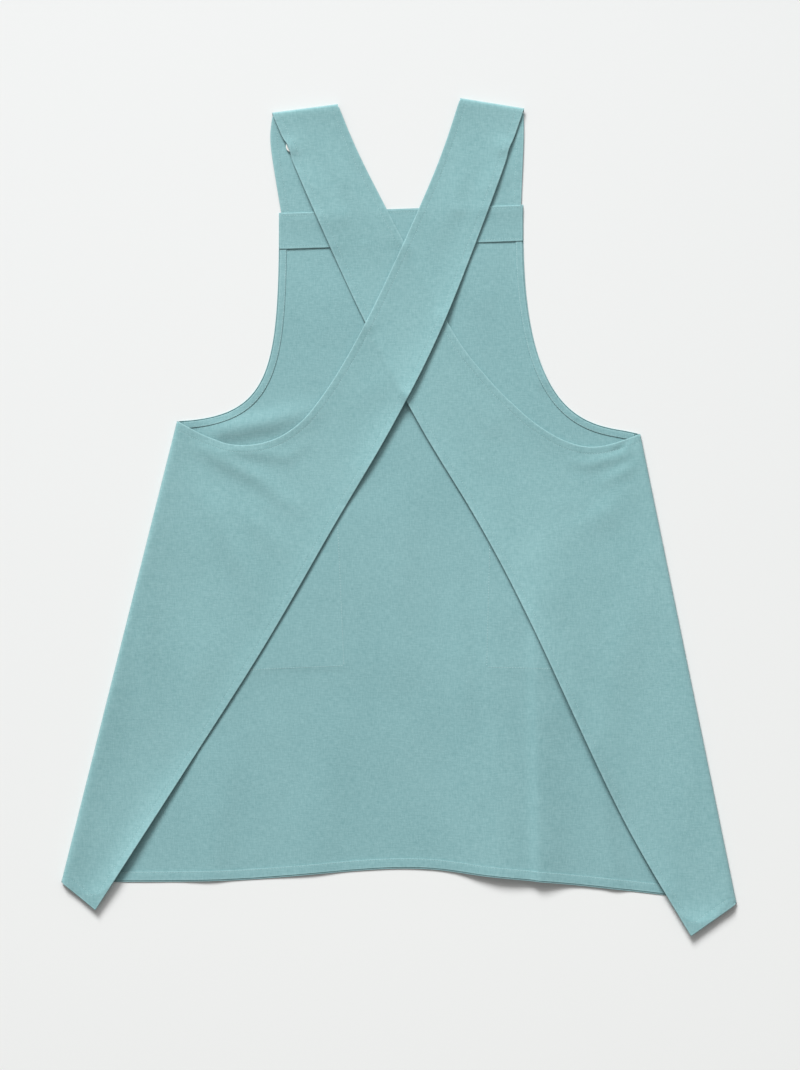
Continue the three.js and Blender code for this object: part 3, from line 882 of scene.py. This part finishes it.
middle = {}
for side in SIDES:
    for name, material, width in (
        (f"{side}_button", button_white, BUTTON_ROUNDING),
        (f"{side}_button_thread", thread, THREAD_ROUNDING),
    ):
        part = frame["nodes"][name]
        part.data.materials.clear()
        part.data.materials.append(material)
        rounding = part.modifiers.new("rounding", "BEVEL")
        rounding.width = width * MM
        rounding.segments = 3
        rounding.limit_method = "ANGLE"
    low, high = (np.array(corner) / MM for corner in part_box(f"{side}_button"))
    middle[side] = (low + high) / 2
    across = np.hypot(chart_x - middle[side][0], chart_y - middle[side][1])
    laid = np.where(across < (high - low)[0] / 2 + BUTTON_CLEAR, high[2] + AIR, laid)

# ------------------------------------------------------------------ back wings
# Each wing is the back half of the skirt with its shoulder strap, cut in one piece with the front panel
# and folded over at the side. Its edges are turned under and stitched. The left one lies on top.

WING_TURNINGS = ("bottom", "armhole", "back")
TACKS = {  # short rows across a turned edge that hold its end
    "left": [((-301, -359), (-311, -363)), ((-328, -403), (-338, -407)), ((-350, -437), (-361, -437))],
    "right": [((334, -470), (346, -468))],
}
BUTTON_TUCK, TUCK_REACH = 3.8, 9.0  # how far a strap's edge draws in over a button, and how near it
BUTTON_HOLDS = 28.0  # how far round itself a button holds the strap down
STRAP_END = (68, 84)  # a strap's end is between these wide
STRAP_TOP = 30  # and both its corners are within this of its top
ON_SHOULDER = 1.6  # an edge nearer than this to the shoulder fold's crest is on it
SHOULDER_REACH = 3.6  # how far in that fold's curl reaches
SHOULDER_CREST = 4.8  # its height above the table
SHOULDER_RISE = 5.6  # and that of the strap's underside beside it
SHOULDER_TURNS = (18, 36, 54, 72, 90)  # degrees round the shoulder fold
FOLD_BESIDE = (3, 16)  # how far in the cloth keeps the side fold's height, and how slowly it sinks then
SHOULDER_BESIDE = (4, 13)  # and the shoulder fold's
FOLD_HOLDS, SHOULDER_HOLDS = 45, 60  # how far each holds the loose edges down
SWELLS_FROM = 12  # how far from the side fold the swells begin
ARMHOLE_LIFT = 1.2  # how far the loose edges stand up, for the back edges by (y, height)
BACK_LIFT = {
    "left": [(-460, 10), (-400, 8), (-310, 4), (-270, 1.2), (15, 1.2), (60, 3.6), (140, 4.6), (450, 3)],
    "right": [(-480, 11), (-420, 10), (-200, 7), (-130, 4.4), (130, 4), (300, 3.4), (450, 2.6)],
}
LIFT_REACH = 20.0  # how far in they begin to
LIFT_RANGE = (0.4, 1.6)  # the least and most share of that lift, as it varies along an edge
EDGE_REACH = 25.0  # how near an edge the cloth takes its lift from it
WING_SWELLS = {  # as PANEL_SWELLS
    "right": [
        ([(298, 90, 0), (262, 72, 1.8), (222, 62, 1.4), (190, 66, 0)], 5, 4),
        ([(298, 80, 0), (262, 54, 1.8), (226, 34, 0)], 6, 5),
        ([(278, 92, 0), (266, 82, 1.2), (250, 68, 0)], 2.5, 2.5),
        ([(268, 96, 0), (252, 84, 1.2), (238, 76, 0)], 2.5, 2.5),
        ([(290, 56, 0), (240, 5, 1.6), (180, -30, 0)], 13, 10),
        ([(300, -30, 0), (262, -140, 1.4), (236, -250, 1.6), (228, -340, 0)], 18, 14),
        ([(190, 20, 0), (165, -50, 1.0), (190, -130, 0)], 14, 14),
        ([(345, -230, 0), (330, -330, 1.2), (325, -430, 0)], 12, 16),
        ([(60, 170, 0), (110, 110, 1.2), (165, 60, 0)], 14, 14),
        ([(-135, 440, 0), (-95, 380, 1.4), (-70, 330, 0)], 8, 8),
        ([(-95, 445, 0), (-60, 390, 1.0), (-30, 330, 0)], 7, 7),
    ],
    "left": [
        ([(-244, 88, 0), (-205, 66, 2.6), (-165, 46, 2.4), (-110, 0, 0)], 8, 7),
        ([(-240, 80, 0), (-185, 76, 1.6), (-130, 70, 1.2), (-95, 92, 0)], 6, 6),
        ([(-250, 60, 0), (-215, 5, 2.0), (-175, -70, 1.4), (-160, -130, 0)], 11, 10),
        ([(-215, 30, 0), (-165, -10, 1.2), (-120, -50, 0)], 10, 9),
        ([(-280, -60, 0), (-295, -140, 1.4), (-285, -230, 1.4), (-262, -300, 0)], 9, 12),
        ([(-225, -120, 0), (-235, -200, 1.0), (-265, -280, 0)], 14, 14),
        ([(-330, -290, 0), (-335, -370, 1.0), (-350, -440, 0)], 12, 12),
        ([(-60, 130, 0), (-20, 150, 1.0), (30, 200, 0)], 12, 14),
        ([(95, 440, 0), (60, 360, 1.2), (20, 280, 0)], 10, 12),
        ([(130, 440, 0), (100, 380, 1.0), (70, 300, 0)], 8, 8),
    ],
}


def drawn_in(rim, button):
    """The rim with its strap edge drawn in beside a button."""
    near = np.exp(-((lengths(rim - button[:2]) / TUCK_REACH) ** 2))
    return rim + into(rim) * BUTTON_TUCK * near[:, None]


def shoulder_line(rim):
    """One end of the shoulder fold's crest, which runs between the strap's two end corners, and the way
    down the strap from it."""
    top = rim[rim[:, 1] > rim[:, 1].max() - STRAP_TOP]
    least, most = STRAP_END
    pairs = [(a, b) for a in top for b in top if least < math.dist(a, b) < most and a[0] < b[0]]
    near_end, far_end = max(pairs, key=lambda pair: pair[0][1] + pair[1][1])
    along = (far_end - near_end) / math.dist(near_end, far_end)
    return near_end, np.array((along[1], -along[0]))


def free_of(away, reach):
    """0 on a fold, which holds the cloth, coming near 1 about three times that reach from it."""
    return 1 - np.exp(-np.maximum(away, 0) / reach)


def beside(away, start, reach):
    """1 on a fold and up to start from it, falling near 0 over about three times that reach."""
    return np.exp(-0.5 * (np.maximum(away - start, 0) / reach) ** 2)


def lift_of_edges(side, inside, turning_rims, button):
    """How far the loose edges of a wing stand up off what they lie on, except beside its button."""
    edge_share = np.clip(2 * (1 - blurred(inside, LIFT_REACH)), 0, 1) ** 1.5
    ripple = np.clip(1 + uneven(seed=41 + len(side), reach=45, height=0.25), *LIFT_RANGE)
    nearness = {kind: blurred(filled(rim), EDGE_REACH) for kind, rim in turning_rims.items()}
    armhole_share = nearness["armhole"] / np.maximum(sum(nearness.values()), 1e-6)
    back_lift = np.interp(chart_y, *np.array(BACK_LIFT[side]).T) * ripple
    from_button = np.hypot(chart_x - button[0], chart_y - button[1])
    held_down = np.exp(-((from_button / BUTTON_HOLDS) ** 2))
    lift = back_lift * (1 - armhole_share) + ARMHOLE_LIFT * armhole_share
    return lift * edge_share * (1 - held_down)


for side in SIDES:
    name = f"{side}_back_wing"
    body = f"{side}_wing"
    over = "left" if side == "right" else "right"  # its strap crosses to the other shoulder
    rim = drawn_in(even_outline(outline(name)), middle[over])
    inside = filled(rim)
    turning_rims = {kind: even_outline(outline(f"{side}_wing_{kind}_hem")) for kind in WING_TURNINGS}
    turned = sum(blurred(filled(band), TURN_SOFT) for band in turning_rims.values())
    shoulder, down = shoulder_line(rim)

    def past_shoulder(points):
        return (points - shoulder) @ down

    fold = fold_chart[side]
    shoulder_chart = past_shoulder(chart_points).reshape(laid.shape)
    lift = lift_of_edges(side, inside, turning_rims, middle[over])
    lift = lift * free_of(fold, FOLD_HOLDS) * free_of(shoulder_chart, SHOULDER_HOLDS)
    fold_rise = (2 * FOLD_HEIGHT[side] - THICK) * beside(fold, *FOLD_BESIDE)
    shoulder_rise = SHOULDER_RISE * beside(shoulder_chart, *SHOULDER_BESIDE)
    base = laid + turned * TURN_STEP
    under = settled(inside, np.maximum(base, np.where(inside, np.maximum(fold_rise, shoulder_rise), 0)))
    for line, width, steep in WING_SWELLS[side]:
        under = under + swell(line, width, steep) * free_of(fold, SWELLS_FROM)
    under = under + uneven(seed=21 + len(side), reach=30, height=0.22)
    under = under + uneven(seed=31 + len(side), reach=11, height=0.04) + lift
    under = past_edge(inside, np.maximum(under, base))

    on_fold = np.abs(past_fold(side, rim)) < ON_FOLD
    on_shoulder = np.abs(past_shoulder(rim)) < ON_SHOULDER
    on_shoulder &= rim[:, 1] > shoulder[1] - STRAP_END[1]
    seam = seams_of(rim, [turning_rims["bottom"]], [HEM_LINE], on_fold | on_shoulder)

    def wing_height(points, away):
        heights = read(under, points) + THICK / 2 - stitch_dent(away)
        heights = curled(heights, past_fold(side, points), FOLD_HEIGHT[side], FOLD_REACH)
        return curled(heights, past_shoulder(points), SHOULDER_CREST, SHOULDER_REACH)

    def shoulder_turn(shape, rim_number):
        """The strap goes on round the shoulder fold and down to the front strap's end."""
        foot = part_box(f"{over}_front_strap")[0].z / MM + THICK / 2
        fold_verts = {v for v in shape.verts if v[rim_number] and on_shoulder[v[rim_number] - 1]}
        run = [e for e in shape.edges if e.is_boundary and fold_verts.issuperset(e.verts)]
        start = {v[rim_number]: np.array(v.co) / MM for e in run for v in e.verts}
        for turn in map(math.radians, SHOULDER_TURNS):
            made = bmesh.ops.extrude_edge_only(shape, edges=run)["geom"]
            run = [g for g in made if isinstance(g, bmesh.types.BMEdge)]
            for vert in (g for g in made if isinstance(g, bmesh.types.BMVert)):
                at = start[vert[rim_number]]
                place = at[:2] + down * SHOULDER_REACH * (1 - math.cos(turn))
                vert.co = (*place * MM, (at[2] - (at[2] - foot) * math.sin(turn)) * MM)

    wing = cloth(
        f"{name}_canvas", rim, wing_height, outside, seam, lip=-1, spacing=3.8, more=shoulder_turn
    )
    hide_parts(name)
    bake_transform(wing)

    for kind, turning_rim in turning_rims.items():

        def under_wing(points, away):
            distance = to_seam(points, rim, seam)
            return wing_height(points, distance) + stitch_dent(distance) - TURN_STEP

        turning = cloth(
            f"{side}_wing_{kind}_turning",
            turning_rim + into(turning_rim) * TUCK,
            under_wing,
            inside_out,
            spacing=5,
            edge_rows=(0.6, 2.0, 4.0),
        )
        follow_seam(turning, rim, seam)
        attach(turning, body)
        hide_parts(f"{side}_wing_{kind}_hem")
    stitching = row_of_stitches(
        f"{side}_wing_stitching",
        inner_lines(rim, seam) + [np.array(tack, float) for tack in TACKS[side]],
        lambda p: wing_height(p, np.full(len(p), STITCH_LINE)) + THICK / 2,
        body,
    )
    laid = np.where(inside, under + THICK + AIR, laid)
